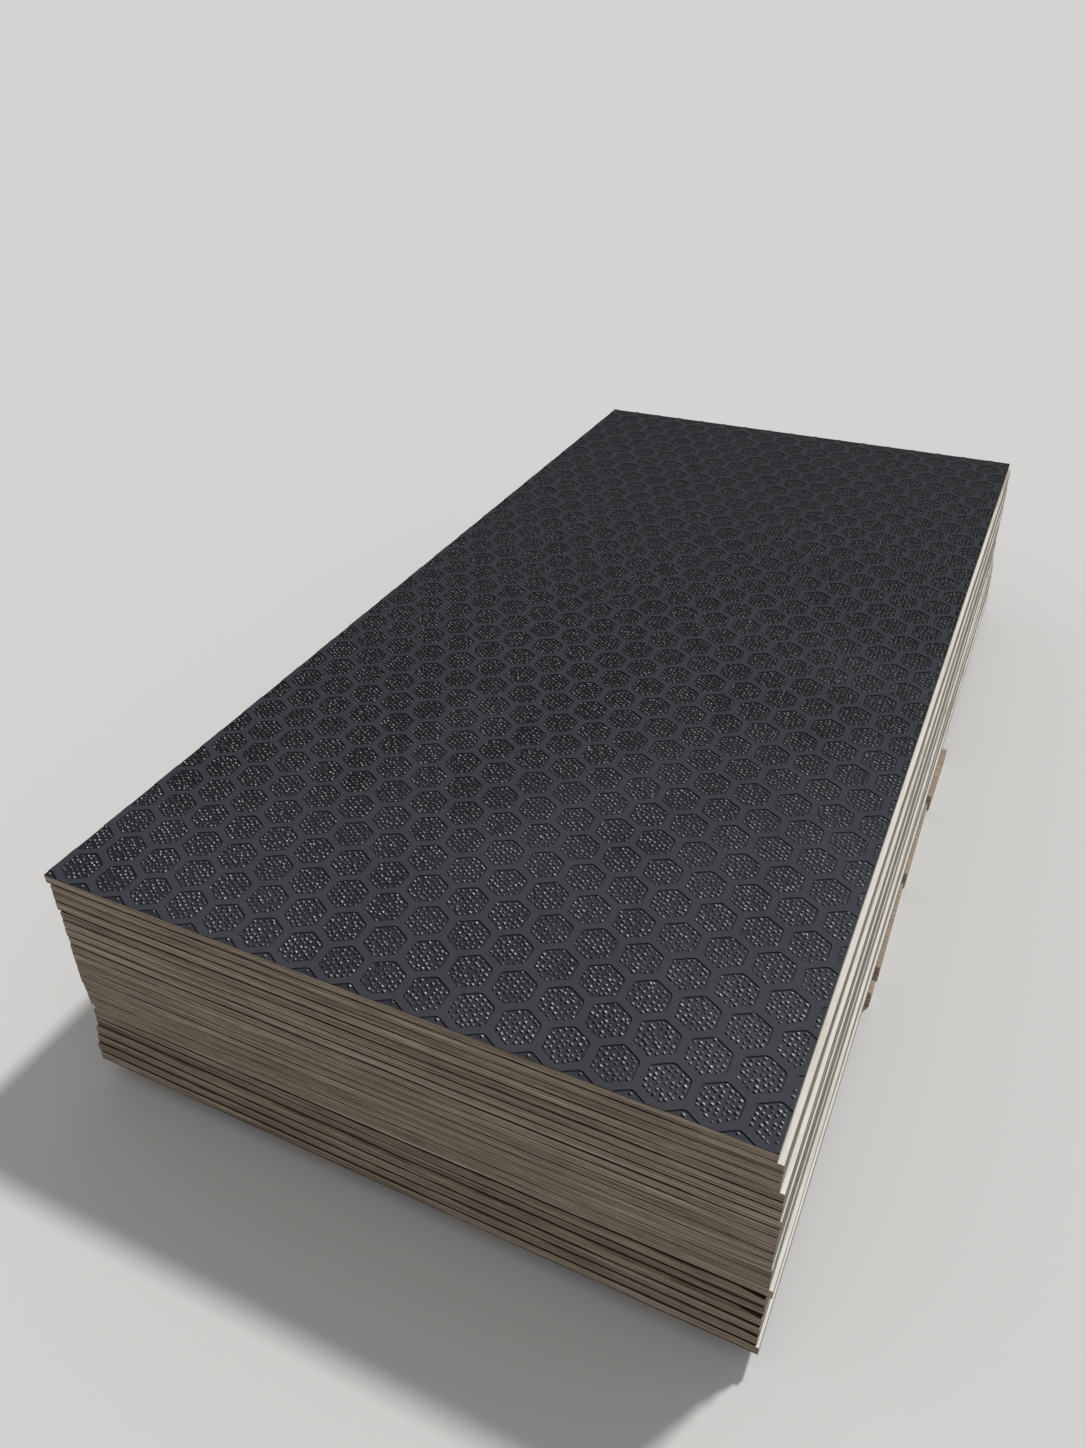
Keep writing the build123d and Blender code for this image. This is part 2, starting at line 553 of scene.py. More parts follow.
@dataclass(frozen=True)
class SawnSoftwood:
    """Planed softwood, weathered: growth rings on the ends, their lines along the faces."""

    # To the eye: greyish tan timber with soft rings, fine fibres and a few dark cracks.
    name: str = "planed softwood, weathered"
    early: str = "#b5a58e"
    late: str = "#8d7a62"
    grey: str = "#968c7e"
    check: str = "#4a3e32"
    wobble: Figure = Figure(420.0, 60.0, 60.0, 3.0)
    fibres: Figure = Figure(120.0, 1.8, 1.8, 3.0)
    weather: Figure = Figure(200.0, 90.0, 30.0, 3.0, 0.35, 0.75)
    checks: Figure = Figure(160.0, 1.4, 14.0, 2.0, 0.66, 0.72)
    pith_mm: tuple[float, float] = (140.0, 30.0)
    wobble_mm: float = 30.0
    rings_scale: float = 55.0

    def make(self) -> Material:
        """Builds the material.

        Returns:
            The material, on Object coordinates.
        """
        material, tree, place = new_material(self.name)
        axes = add(tree, SPLIT, {0: place}).node
        drift = add(tree, "MULTIPLY", {0: self.wobble.draw(tree, place), 1: self.wobble_mm * MM})
        from_pith = add(tree, "PINGPONG", {0: axes.outputs["Y"], 1: self.pith_mm[0] * MM})
        over_pith = add(tree, "ADD", {0: axes.outputs["Z"], 1: self.pith_mm[1] * MM})
        axes_around = {
            "X": add(tree, "MULTIPLY", {0: axes.outputs["X"], 1: 0.02}),
            "Y": add(tree, "ADD", {0: from_pith, 1: drift}),
            "Z": add(tree, "ADD", {0: over_pith, 1: drift}),
        }
        around = add(tree, JOIN, axes_around)
        wave = {"Vector": around, "Scale": self.rings_scale, "Distortion": 1.5, "Detail": 2.0}
        drawn = add(tree, "ShaderNodeTexWave", wave, wave_type="RINGS", rings_direction="X")
        rings, fibres = drawn.node.outputs["Fac"], self.fibres.draw(tree, place)
        tone = total(tree, [(rings, 0.55), (fibres, 0.45)])
        colour = add(tree, RAMP, {"Fac": tone}, ((0.25, self.late), (0.62, self.early)))
        marks = ((self.weather, self.grey), (self.checks, self.check))
        colour = coat(tree, colour, [(figure.draw(tree, place), 1, paint) for figure, paint in marks])
        return surface(material, colour, 0.8, 0.3, (tone, 0.5, 0.4))


class Side(IntEnum):
    """A side of a sheet, anticlockwise on plan from the near end."""

    NEAR = 0
    RIGHT = 1
    FAR = 2
    LEFT = 3

    @property
    def is_end(self) -> bool:
        """Whether it is one of the two short, crosscut sides."""
        return self in (Side.NEAR, Side.FAR)


class Slot(IntEnum):
    """Where each finish stands in a sheet's list of materials, as main() makes them."""

    END_EDGE = 0
    LONG_EDGE = 1
    VENEER = 2
    # The end ledges' face veneer, darker by yard stain and painted shade.
    SHADED_STAINED = 3
    # The faces inside the seams, painted dark as shade.
    SHADED_SEAM = 4


@dataclass(frozen=True)
class Footprint:
    """A turned rectangle on plan: its middle, its two directions and its size."""

    middle: Vector
    across: Vector
    along: Vector
    width: float
    length: float

    @classmethod
    def of_node(cls, name: str) -> "Footprint":
        """Reads the footprint of a CAD node from its corners.

        Args:
            name: a node whose plan is a rectangle, turned by a few degrees at most.

        Returns:
            The footprint, in metres.
        """
        points = [v.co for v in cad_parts[name].data.vertices]
        corner = {
            (sx, sy): max(points, key=lambda p: sx * p.x + sy * p.y)
            for sx in (-1, 1)
            for sy in (-1, 1)
        }
        near_left, near_right = corner[-1, -1], corner[1, -1]
        middle = (near_left + near_right + corner[-1, 1] + corner[1, 1]) / 4
        across = (near_right - near_left).to_2d()
        along = (corner[-1, 1] - near_left).to_2d()
        return cls(middle.to_2d(), across.normalized(), along.normalized(), across.length, along.length)

    def at(self, x: float, y: float) -> Vector:
        """Gives the plan point x across and y along from the middle."""
        return self.middle + self.across * x + self.along * y

    def outside(self, point: Vector, side: Side) -> float:
        """Gives how far a point lies past one side of the rectangle, in metres."""
        axis, size = (self.along, self.length) if side.is_end else (self.across, self.width)
        return abs((point - self.middle).dot(axis)) - size / 2


@dataclass(frozen=True)
class Station:
    """A place on a sheet's edge where its section is drawn.

    The seam goes in from there along one direction and the ledge along another. At the
    right corners the ledge goes in sideways only, so that the pale ledges run out to the
    ends, and at the left corners only lengthwise, as the stained, shaded strip does there.
    """

    point: Vector
    seam: Vector
    ledge: Vector
    side: Side
    ledge_side: Side
    share: float


def new_object(name: str, mesh: Mesh) -> Object:
    """Makes an object of a mesh and links it to the scene.

    Args:
        name: the object's name.
        mesh: its mesh, in metres.

    Returns:
        The new object.
    """
    made = bpy.data.objects.new(name, mesh)
    bpy.context.scene.collection.objects.link(made)
    return made


def new_mesh(name: str, vertices: list, faces: list) -> Mesh:
    """Makes a mesh from plain points and faces.

    Args:
        name: the mesh's name.
        vertices: points in metres.
        faces: point numbers of each face.

    Returns:
        The new mesh.
    """
    mesh = bpy.data.meshes.new(name)
    mesh.from_pydata(vertices, [], faces)
    return mesh


def solid_object(
    name: str, vertices: list, faces: list, materials: list[Material], slots: list[int] | None = None
) -> Object:
    """Makes an object from plain points and faces, and turns its faces outwards.

    Args:
        name: the piece's name.
        vertices: points in metres, in the shared frame.
        faces: point numbers of each face.
        materials: the object's materials.
        slots: which material each face takes.

    Returns:
        The new object, linked to the scene.
    """
    mesh = new_mesh(name, vertices, faces)
    for material in materials:
        mesh.materials.append(material)
    if slots is not None:
        mesh.polygons.foreach_set("material_index", slots)
    work = bmesh.new()
    work.from_mesh(mesh)
    bmesh.ops.recalc_face_normals(work, faces=work.faces)
    work.to_mesh(mesh)
    work.free()
    return new_object(name, mesh)


def band(first: int, size: int) -> list[tuple[int, int, int, int]]:
    """Joins a closed ring of points to the ring after it, as the point numbers of the faces."""
    pairs = [(first + k, first + (k + 1) % size) for k in range(size)]
    return [(a, b, b + size, a + size) for a, b in pairs]


def drifting(seed: int, knots: int, low: float, high: float) -> np.ndarray:
    """Draws seeded random numbers for a value that drifts along an edge."""
    return np.random.default_rng(seed).uniform(low, high, knots)


def drift_at(share: float, knots: np.ndarray) -> float:
    """Gives the value that drifts between evenly spaced knots, at a share of the edge."""
    return float(np.interp(share, np.linspace(0, 1, len(knots)), knots))


@dataclass(frozen=True)
class SheetStack:
    """The plywood sheets, each a panel with a ply-layered edge and narrow seams between.

    The sheets touch inside. Near their edges they part by a fraction of a millimetre, by
    more in some seams, and by over 3 mm at the near right corner under the eighteenth.
    """

    station_mm: float = 40.0
    seam_depth_mm: float = 36.0
    narrowest_ledge_mm: float = 0.8
    widest_ledge_mm: float = 12.0
    # An end ledge stops this far short of its neighbour, so that the painted shade inside the seam shows.
    corner_shade_mm: float = 1.3
    groove_mm: float = 0.16
    ease_mm: tuple[float, float] = (0.25, 0.9)
    ease_knots: int = 20
    ease_seed_step: int = 7
    # The widths of a strong seam and of a plain one, and the shares that they vary between.
    seam_mm: tuple[float, float] = (2.1, 1.3)
    seam_wave: tuple[float, float] = (0.45, 1.0)
    seam_knots: int = 14
    first_seam_seed: int = 1000
    # At a corner a seam has this share of its width, and it opens at this rate from there.
    shut_share: float = 0.15
    opening_rate: float = 12.0
    ledge_drop: float = 0.8
    strong_seams: tuple[int, ...] = (1, 2, 3, 4, 5, 7, 8, 12, 13, 15, 16, 17, 19, 21)
    open_seam: int = 18
    open_width_mm: float = 2.0
    open_side_rate: float = 7.0

    def stations(self, place: Footprint) -> list[Station]:
        """Walks round a sheet's edge, anticlockwise from the near left corner.

        Args:
            place: the sheet's footprint.

        Returns:
            The stations, the first of each side on a corner.
        """
        x, y = place.width / 2, place.length / 2
        corners = [(-x, -y), (x, -y), (x, y), (-x, y)]
        inward = [place.along, -place.across, -place.along, place.across]
        corner_ledges = [Side.NEAR, Side.RIGHT, Side.RIGHT, Side.FAR]
        found = []
        for side in Side:
            (x0, y0), (x1, y1) = corners[side], corners[(side + 1) % len(Side)]
            count = round(math.hypot(x1 - x0, y1 - y0) / (self.station_mm * MM))
            for step in range(count):
                share = step / count
                point = place.at(x0 + (x1 - x0) * share, y0 + (y1 - y0) * share)
                seam = inward[side] if step else inward[side] + inward[side - 1]
                ledge_side = side if step else corner_ledges[side]
                found.append(Station(point, seam, inward[ledge_side], side, ledge_side, share))
        return found

    def ledge_width(self, station: Station, other: Footprint) -> float:
        """Gives how wide a sheet's bare strip is where it sticks out past its neighbour.

        On the ends the strip stops short of the neighbour, so that the dark faces inside the seam, painted
        as shade, show as a thin line in the corner. On the long sides it runs on under the neighbour.

        Args:
            station: a place on the sheet's edge.
            other: the sheet above it or below it.

        Returns:
            The width of the bare strip there, in millimetres.
        """
        step = other.outside(station.point, station.ledge_side) / MM
        width = step + (-self.corner_shade_mm if station.ledge_side.is_end else self.narrowest_ledge_mm)
        return min(self.widest_ledge_mm, max(self.narrowest_ledge_mm, width))

    def seam_half(self, seam: int, side: Side, share: float) -> float:
        """Gives half of a seam's width at a station, in millimetres.

        Args:
            seam: the seam's number, that of the sheet above it.
            side: which edge of the stack.
            share: the share of that edge that is behind the station.

        Returns:
            Half the width of the seam.
        """
        if not 1 <= seam < SHEET_COUNT:
            return 0.0
        seed = self.first_seam_seed + seam * len(Side) + side
        width = drift_at(share, drifting(seed, self.seam_knots, *self.seam_wave))
        width *= self.seam_mm[0 if seam in self.strong_seams else 1]
        width *= min(1.0, self.shut_share + min(share, 1 - share) * self.opening_rate)
        if seam == self.open_seam and side is Side.NEAR:
            width += self.open_width_mm * share**3
        if seam == self.open_seam and side is Side.RIGHT:
            width += self.open_width_mm * max(0.0, 1 - share * self.open_side_rate)
        return width / 2

    def section(
        self, number: int, station: Station, above: Footprint, below: Footprint
    ) -> list[tuple[float, float, float]]:
        """Draws a sheet's section at a station, from the seam over it down to the seam under it.

        Args:
            number: the sheet's number, from the top down.
            station: the place on its edge.
            above: the sheet above it.
            below: the sheet below it.

        Returns:
            Points in metres, as many for every station.
        """
        bottom = STACK_HEIGHT - number * SHEET_THICKNESS
        top = bottom + SHEET_THICKNESS - (FILM_THICKNESS if number == 1 else 0)
        ply = (top - bottom) / PLIES
        seam, ledge, side, share = station.seam, station.ledge, station.side, station.share
        over = self.seam_half(number - 1, side, share)
        under = self.seam_half(number, side, share)
        seed = number * self.ease_seed_step + side
        ease = drift_at(share, drifting(seed, self.ease_knots, *self.ease_mm))
        levels = [(self.seam_depth_mm, top), (ease, top - over), (0.0, top - over - ease)]
        for layer in range(1, PLIES):
            levels += [(self.groove_mm, top - layer * ply), (0.0, top - (layer + 0.5) * ply)]
        # The middle of the lowest ply gives way to the start of the lower arris.
        levels[-1] = (0.0, bottom + under + ease)
        levels += [(ease, bottom + under), (self.seam_depth_mm, bottom)]
        points = [(*(station.point + seam * inset * MM), z * MM) for inset, z in levels]
        ledges = ((1, above, top - over * self.ledge_drop), (-1, below, bottom + under * self.ledge_drop))
        for index, other, z in ledges:
            width = self.ledge_width(station, other)
            at = station.point + ledge * width * MM + (seam - ledge) * ease * MM
            points.insert(index, (*at, z * MM))
        return points

    def build_sheet(self, number: int, finishes: list[Material]) -> Object:
        """Builds one sheet over its CAD node.

        Args:
            number: the sheet's number, from the top down.
            finishes: the materials, in the order of their slots.

        Returns:
            The sheet.
        """
        above, place, below = (
            Footprint.of_node(f"sheet_{min(max(n, 1), SHEET_COUNT):02d}")
            for n in (number - 1, number, number + 1)
        )
        stations = self.stations(place)
        sections = [self.section(number, station, above, below) for station in stations]
        size, count = len(sections[0]), len(sections)
        faces, slots = [], []
        for i, station in enumerate(stations):
            here, there = i * size, (i + 1) % count * size
            faces += [(here + r, here + r + 1, there + r + 1, there + r) for r in range(size - 1)]
            end = station.side.is_end
            edge, face = (Slot.END_EDGE, Slot.SHADED_STAINED) if end else (Slot.LONG_EDGE, Slot.VENEER)
            # Inside each of the two seams the faces are painted dark as shade, then comes the ledge's bare
            # strip.
            seam = [Slot.SHADED_SEAM, face]
            slots += [*seam, *[edge] * (size - 1 - 2 * len(seam)), *reversed(seam)]
        faces += [[i * size + r for i in range(count)] for r in (0, size - 1)]
        slots += [Slot.VENEER] * 2
        vertices = [point for points in sections for point in points]
        made = solid_object(f"plywood_sheet_{number:02d}", vertices, faces, finishes, slots)
        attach(made, "root")
        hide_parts(f"sheet_{number:02d}")
        return made

    def build(self, finishes: list[Material]) -> list[Object]:
        """Builds every sheet, from the top down, of materials in the order of their slots."""
        return [self.build_sheet(number, finishes) for number in range(1, SHEET_COUNT + 1)]


@dataclass(frozen=True)
class AntiSlipFilm:
    """The top sheet's film: hexagonal recesses with studs, cut off at the sheet's edges."""

    recess_width: float = 62.6
    land_width: float = 10.0
    left_land: float = 10.7
    near_land: float = 4.9
    recess_depth: float = 1.1
    columns: int = 19
    rows: int = 42
    rows_before: int = 2
    tip_share: float = 0.28
    weld_mm: float = 0.02
    edge_slot: int = 1
    stud_pitch: float = 9.6
    stud_radius: float = 4.5
    stud_height: float = 1.04
    stud_foot: float = 0.06
    stud_shoulder: tuple[float, float] = (0.36, 0.80)
    stud_rings: int = 3
    stud_spread: tuple[float, float] = (0.70, 1.04)
    stud_jitter: float = 2.0
    stud_bands: int = 3
    seed: int = 11

    @property
    def pitch(self) -> float:
        """The distance between neighbouring cells, in millimetres."""
        return self.recess_width + self.land_width

    @property
    def row_pitch(self) -> float:
        """The distance between rows of cells, in millimetres."""
        return self.pitch * math.sqrt(3) / 2

    def cell_grid(self, tree: NodeTree, inputs: Node) -> NodeSocket:
        """Adds the nodes that lay out the middles of the cells.

        Args:
            tree: the Geometry Nodes tree.
            inputs: its group input node.

        Returns:
            The points, every second row moved by half a cell.
        """
        columns, rows = inputs.outputs["Columns"], inputs.outputs["Rows"]
        pitch, row_pitch = inputs.outputs["Pitch"], inputs.outputs["Row Pitch"]
        sizes = []
        for number, gap in ((columns, pitch), (rows, row_pitch)):
            gaps = add(tree, "SUBTRACT", {0: number, 1: 1.0})
            sizes.append(add(tree, "MULTIPLY", {0: gaps, 1: gap}))
        counts = {"Vertices X": columns, "Vertices Y": rows}
        grid = add(tree, "GeometryNodeMeshGrid", {"Size X": sizes[0], "Size Y": sizes[1], **counts})
        along = add(tree, SPLIT, {0: add(tree, "GeometryNodeInputPosition")}).node.outputs["Y"]
        from_first = add(tree, "MULTIPLY_ADD", {0: sizes[1], 1: 0.5, 2: along})
        rows_before = add(tree, "DIVIDE", {0: from_first, 1: row_pitch})
        row = add(tree, "ROUND", {0: rows_before})
        odd = add(tree, "MODULO", {0: row, 1: 2.0})
        half_pitch = add(tree, "MULTIPLY", {0: pitch, 1: 0.5})
        shift = add(tree, "MULTIPLY", {0: odd, 1: half_pitch})
        offset = add(tree, JOIN, {"X": shift})
        moved = add(tree, "GeometryNodeSetPosition", {"Geometry": grid, "Offset": offset})
        middle = {
            axis: add(tree, "MULTIPLY_ADD", {0: size, 1: 0.5, 2: inputs.outputs[f"First {axis}"]})
            for axis, size in zip("XY", sizes)
        }
        start = add(tree, JOIN, middle)
        return add(tree, "GeometryNodeTransform", {"Geometry": moved, "Translation": start})

    def new_tree(self, name: str, extra: dict[str, str]) -> tuple[NodeTree, Node]:
        """Starts a Geometry Nodes tree with the inputs that a field of cells takes.

        Args:
            name: the tree's name.
            extra: further inputs, by name and kind.

        Returns:
            The tree and its group input node.
        """
        tree = bpy.data.node_groups.new(name, "GeometryNodeTree")
        tree.interface.new_socket("Geometry", in_out="OUTPUT", socket_type="NodeSocketGeometry")
        kinds = {"Columns": "Int", "Rows": "Int", "Shape": "Object", "Finish": "Material"}
        kinds |= dict.fromkeys(("Pitch", "Row Pitch", "First X", "First Y"), "Float")
        for socket, kind in (kinds | extra).items():
            tree.interface.new_socket(socket, in_out="INPUT", socket_type=f"NodeSocket{kind}")
        return tree, add(tree, "NodeGroupInput").node

    def set_copies(self, tree: NodeTree, inputs: Node, points: NodeSocket, sockets: Sockets) -> None:
        """Ends a tree: the shape is set on every point, made real and given its finish.

        Args:
            tree: the Geometry Nodes tree.
            inputs: its group input node.
            points: where the copies go.
            sockets: further inputs of the node that places them.
        """
        shape = add(tree, "GeometryNodeObjectInfo", {"Object": inputs.outputs["Shape"]}).node
        placing = {"Points": points, "Instance": shape.outputs["Geometry"], **sockets}
        real = add(tree, REALIZE, {"Geometry": add(tree, INSTANCES, placing)})
        finish = {"Geometry": real, "Material": inputs.outputs["Finish"]}
        add(tree, "NodeGroupOutput", {0: add(tree, "GeometryNodeSetMaterial", finish)})

    def grow(self, name: str, tree: NodeTree, values: dict[str, object]) -> Mesh:
        """Runs a tree once and keeps the mesh that it makes.

        Args:
            name: the mesh's name.
            tree: the Geometry Nodes tree.
            values: its inputs by name.

        Returns:
            The mesh, with no modifier left.
        """
        holder = new_object(name, bpy.data.meshes.new(name))
        modifier = holder.modifiers.new(name, "NODES")
        modifier.node_group = tree
        for item in tree.interface.items_tree:
            if item.item_type == "SOCKET" and item.in_out == "INPUT" and item.name in values:
                modifier[item.identifier] = values[item.name]
        graph = bpy.context.evaluated_depsgraph_get()
        mesh = bpy.data.meshes.new_from_object(holder.evaluated_get(graph))
        bpy.data.objects.remove(holder)
        return mesh

    def field_values(self, shape: Object, finish: Material) -> dict[str, object]:
        """Gives the inputs of a field that covers the sheet and runs past its edges.

        Args:
            shape: what is set on every point.
            finish: its material.

        Returns:
            The inputs by name, lengths in metres.
        """
        first_x = -SHEET_WIDTH / 2 + self.left_land + self.recess_width / 2 - self.pitch
        first_y = -SHEET_LENGTH / 2 + self.near_land + self.recess_width / math.sqrt(3)
        return {
            "Columns": self.columns,
            "Rows": self.rows,
            "Pitch": self.pitch * MM,
            "Row Pitch": self.row_pitch * MM,
            "First X": first_x * MM,
            "First Y": (first_y - self.rows_before * self.row_pitch) * MM,
            "Shape": shape,
            "Finish": finish,
        }

    def cell_tile(self) -> Object:
        """Models one cell: half of the land round it, the rounded rim, the wall and floor.

        Returns:
            The tile, its land at z 0.
        """
        # Each loop's width across the flats, its height and how far back its corners turn.
        loops = [
            (self.pitch, 0.0, 5.0),
            (self.recess_width - 0.3, 0.0, 5.0),
            (self.recess_width - 0.9, -0.14, 4.7),
            (self.recess_width - 3.8, -0.90 * self.recess_depth, 4.2),
            (self.recess_width - 4.6, -self.recess_depth, 4.0),
        ]
        turns = (-1, 0, 1)
        size = HEXAGON * len(turns)
        vertices, faces = [], []
        for across, z, round_off in loops:
            # Each corner becomes three points. The middle one is drawn in, but not on the
            # outermost loop, so that the tiles meet.
            blunt = 0 if across == self.pitch else round_off * self.tip_share
            for k in range(HEXAGON):
                a = math.radians(30 + 60 * k)
                outward = Vector((math.cos(a), math.sin(a)))
                tip = outward * (across / math.sqrt(3))
                aside = Vector((-math.sin(a), math.cos(a)))
                for turn in turns:
                    if turn:
                        at = tip + (aside * turn * math.sqrt(3) / 2 + outward * -0.5) * round_off
                    else:
                        at = tip - tip.normalized() * blunt
                    vertices.append((at.x * MM, at.y * MM, z * MM))
        for loop in range(len(loops) - 1):
            faces += band(loop * size, size)
        faces.append(range((len(loops) - 1) * size, len(loops) * size))
        return new_object("film_cell", new_mesh("film_cell", vertices, faces))

    def trim(self, work: bmesh.types.BMesh, place: Footprint) -> None:
        """Cuts the field of cells to the sheet and closes it below into one skin.

        Args:
            work: the cells, about the sheet's middle.
            place: the sheet's footprint.
        """
        bmesh.ops.remove_doubles(work, verts=work.verts, dist=self.weld_mm * MM)
        for axis, half in enumerate((place.width / 2, place.length / 2)):
            for sign in (-1, 1):
                normal = [0.0, 0.0, 0.0]
                normal[axis] = sign
                bmesh.ops.bisect_plane(
                    work,
                    geom=[*work.verts, *work.edges, *work.faces],
                    plane_co=[n * half for n in normal],
                    plane_no=normal,
                    clear_outer=True,
                )
        rim = [e for e in work.edges if e.is_boundary]
        for part in bmesh.ops.extrude_edge_only(work, edges=rim)["geom"]:
            if isinstance(part, bmesh.types.BMVert):
                part.co.z = -FILM_THICKNESS * MM
            if isinstance(part, bmesh.types.BMFace):
                part.material_index = self.edge_slot
        bmesh.ops.edgeloop_fill(work, edges=[e for e in work.edges if e.is_boundary])
        bmesh.ops.recalc_face_normals(work, faces=work.faces)

    def build_film(self, finishes: list[Material]) -> Object:
        """Builds the film as one closed skin, trimmed to the sheet.

        Args:
            finishes: the film's own material and that of its trimmed edge.

        Returns:
            The film.
        """
        tile = self.cell_tile()
        tree, inputs = self.new_tree("film cells", {})
        self.set_copies(tree, inputs, self.cell_grid(tree, inputs), {})
        mesh = self.grow("film_cells", tree, self.field_values(tile, finishes[0]))
        bpy.data.objects.remove(tile)

        place = Footprint.of_node("sheet_01")
        work = bmesh.new()
        work.from_mesh(mesh)
        self.trim(work, place)
        turn = (
            (place.across.x, place.along.x, 0, place.middle.x),
            (place.across.y, place.along.y, 0, place.middle.y),
            (0, 0, 1, STACK_HEIGHT * MM),
            (0, 0, 0, 1),
        )
        work.transform(Matrix(turn))
        work.to_mesh(mesh)
        work.free()
        mesh.materials.clear()
        for finish in finishes:
            mesh.materials.append(finish)
        film = new_object("anti_slip_film", mesh)
        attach(film, "root")
        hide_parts("top_sheet_film")
        return film

    def stud(self) -> Object:
        """Models one stud as a low dome with six sides.

        Returns:
            The stud, its foot at z 0.
        """
        shoulder, share_up = self.stud_shoulder
        vertices = []
        for share, z in ((1.0, -self.stud_foot), (shoulder, share_up * self.stud_height)):
            for k in range(HEXAGON):
                a, reach = math.radians(60 * k), self.stud_radius * share
                vertices.append((reach * math.cos(a) * MM, reach * math.sin(a) * MM, z * MM))
        tip = len(vertices)
        vertices.append((0, 0, self.stud_height * MM))
        faces = band(0, HEXAGON)
        faces += [(HEXAGON + k, HEXAGON + (k + 1) % HEXAGON, tip) for k in range(HEXAGON)]
        mesh = new_mesh("film_stud", vertices, faces)
        mesh.polygons.foreach_set("use_smooth", [True] * len(faces))
        return new_object("film_stud", mesh)

    def stud_lattice(self) -> Object:
        """Lays out the studs of one cell.

        Returns:
            An object whose points are the studs' places about the cell's middle.
        """
        step, rings = self.stud_pitch, self.stud_rings
        points = [
            (a * step * math.sqrt(3) / 2 * MM, (b + a / 2) * step * MM, 0.0)
            for a in range(-rings, rings + 1)
            for b in range(-rings, rings + 1)
            if abs(a + b) <= rings
        ]
        return new_object("stud_places", new_mesh("stud_places", points, []))

    def stud_tree(self) -> NodeTree:
        """Builds the tree that sets the studs in the cells between two lines of Y.

        Returns:
            The Geometry Nodes tree.
        """
        extra = dict.fromkeys(("From Y", "To Y", "Half Width", "Half Length", "Jitter"), "Float")
        tree, inputs = self.new_tree("film studs", {"Places": "Object", **extra, "Seed": "Int"})
        places = add(tree, "GeometryNodeObjectInfo", {"Object": inputs.outputs["Places"]}).node
        lattices = {"Points": self.cell_grid(tree, inputs), "Instance": places.outputs["Geometry"]}
        points = add(tree, REALIZE, {"Geometry": add(tree, INSTANCES, lattices)})
        jitter, seed = inputs.outputs["Jitter"], inputs.outputs["Seed"]
        least, most = (
            add(tree, VECTOR, {0: (sign, sign, 0.0), "Scale": jitter}, operation="SCALE") for sign in (-1, 1)
        )
        limits = {"Min": least, "Max": most, "Seed": seed}
        off = add(tree, "FunctionNodeRandomValue", limits, data_type="FLOAT_VECTOR")
        moved = add(tree, "GeometryNodeSetPosition", {"Geometry": points, "Offset": off})
        spot = add(tree, SPLIT, {0: add(tree, "GeometryNodeInputPosition")}).node
        x, y = spot.outputs["X"], spot.outputs["Y"]
        tests = [
            (add(tree, "ABSOLUTE", {0: x}), "Half Width", "GREATER_THAN"),
            (add(tree, "ABSOLUTE", {0: y}), "Half Length", "GREATER_THAN"),
            (y, "From Y", "LESS_THAN"),
            (y, "To Y", "GREATER_THAN"),
        ]
        outside = 0.0
        for value, limit, test in tests:
            fault = add(tree, test, {0: value, 1: inputs.outputs[limit]})
            outside = add(tree, "MAXIMUM", {0: outside, 1: fault})
        chosen = {"Geometry": moved, "Selection": outside}
        kept = add(tree, "GeometryNodeDeleteGeometry", chosen, domain="POINT")
        spread = {"Min": self.stud_spread[0], "Max": self.stud_spread[1], "Seed": seed}
        grown = add(tree, "FunctionNodeRandomValue", spread, data_type="FLOAT")
        self.set_copies(tree, inputs, kept, {"Scale": grown})
        return tree

    def build_studs(self, finish: Material) -> list[Object]:
        """Builds the studs, in bands along the sheet.

        Args:
            finish: the film's material.

        Returns:
            One object for each band.
        """
        place = Footprint.of_node("sheet_01")
        shape, lattice, tree = self.stud(), self.stud_lattice(), self.stud_tree()
        clear = self.stud_radius * self.stud_spread[1] * MM
        floor = (STACK_HEIGHT - self.recess_depth) * MM
        made = []
        for number in range(self.stud_bands):
            near = -place.length / 2 + place.length * number / self.stud_bands
            values = {
                **self.field_values(shape, finish),
                "Places": lattice,
                "From Y": near,
                "To Y": near + place.length / self.stud_bands,
                "Half Width": place.width / 2 - clear,
                "Half Length": place.length / 2 - clear,
                "Jitter": self.stud_jitter * MM,
                "Seed": self.seed,
            }
            name = f"film_studs_{number + 1}"
            mesh = self.grow(name, tree, values)
            mesh.transform(Matrix.Translation((place.middle.x, place.middle.y, floor)))
            studs = new_object(name, mesh)
            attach(studs, "root")
            made.append(studs)
        bpy.data.objects.remove(shape)
        bpy.data.objects.remove(lattice)
        return made


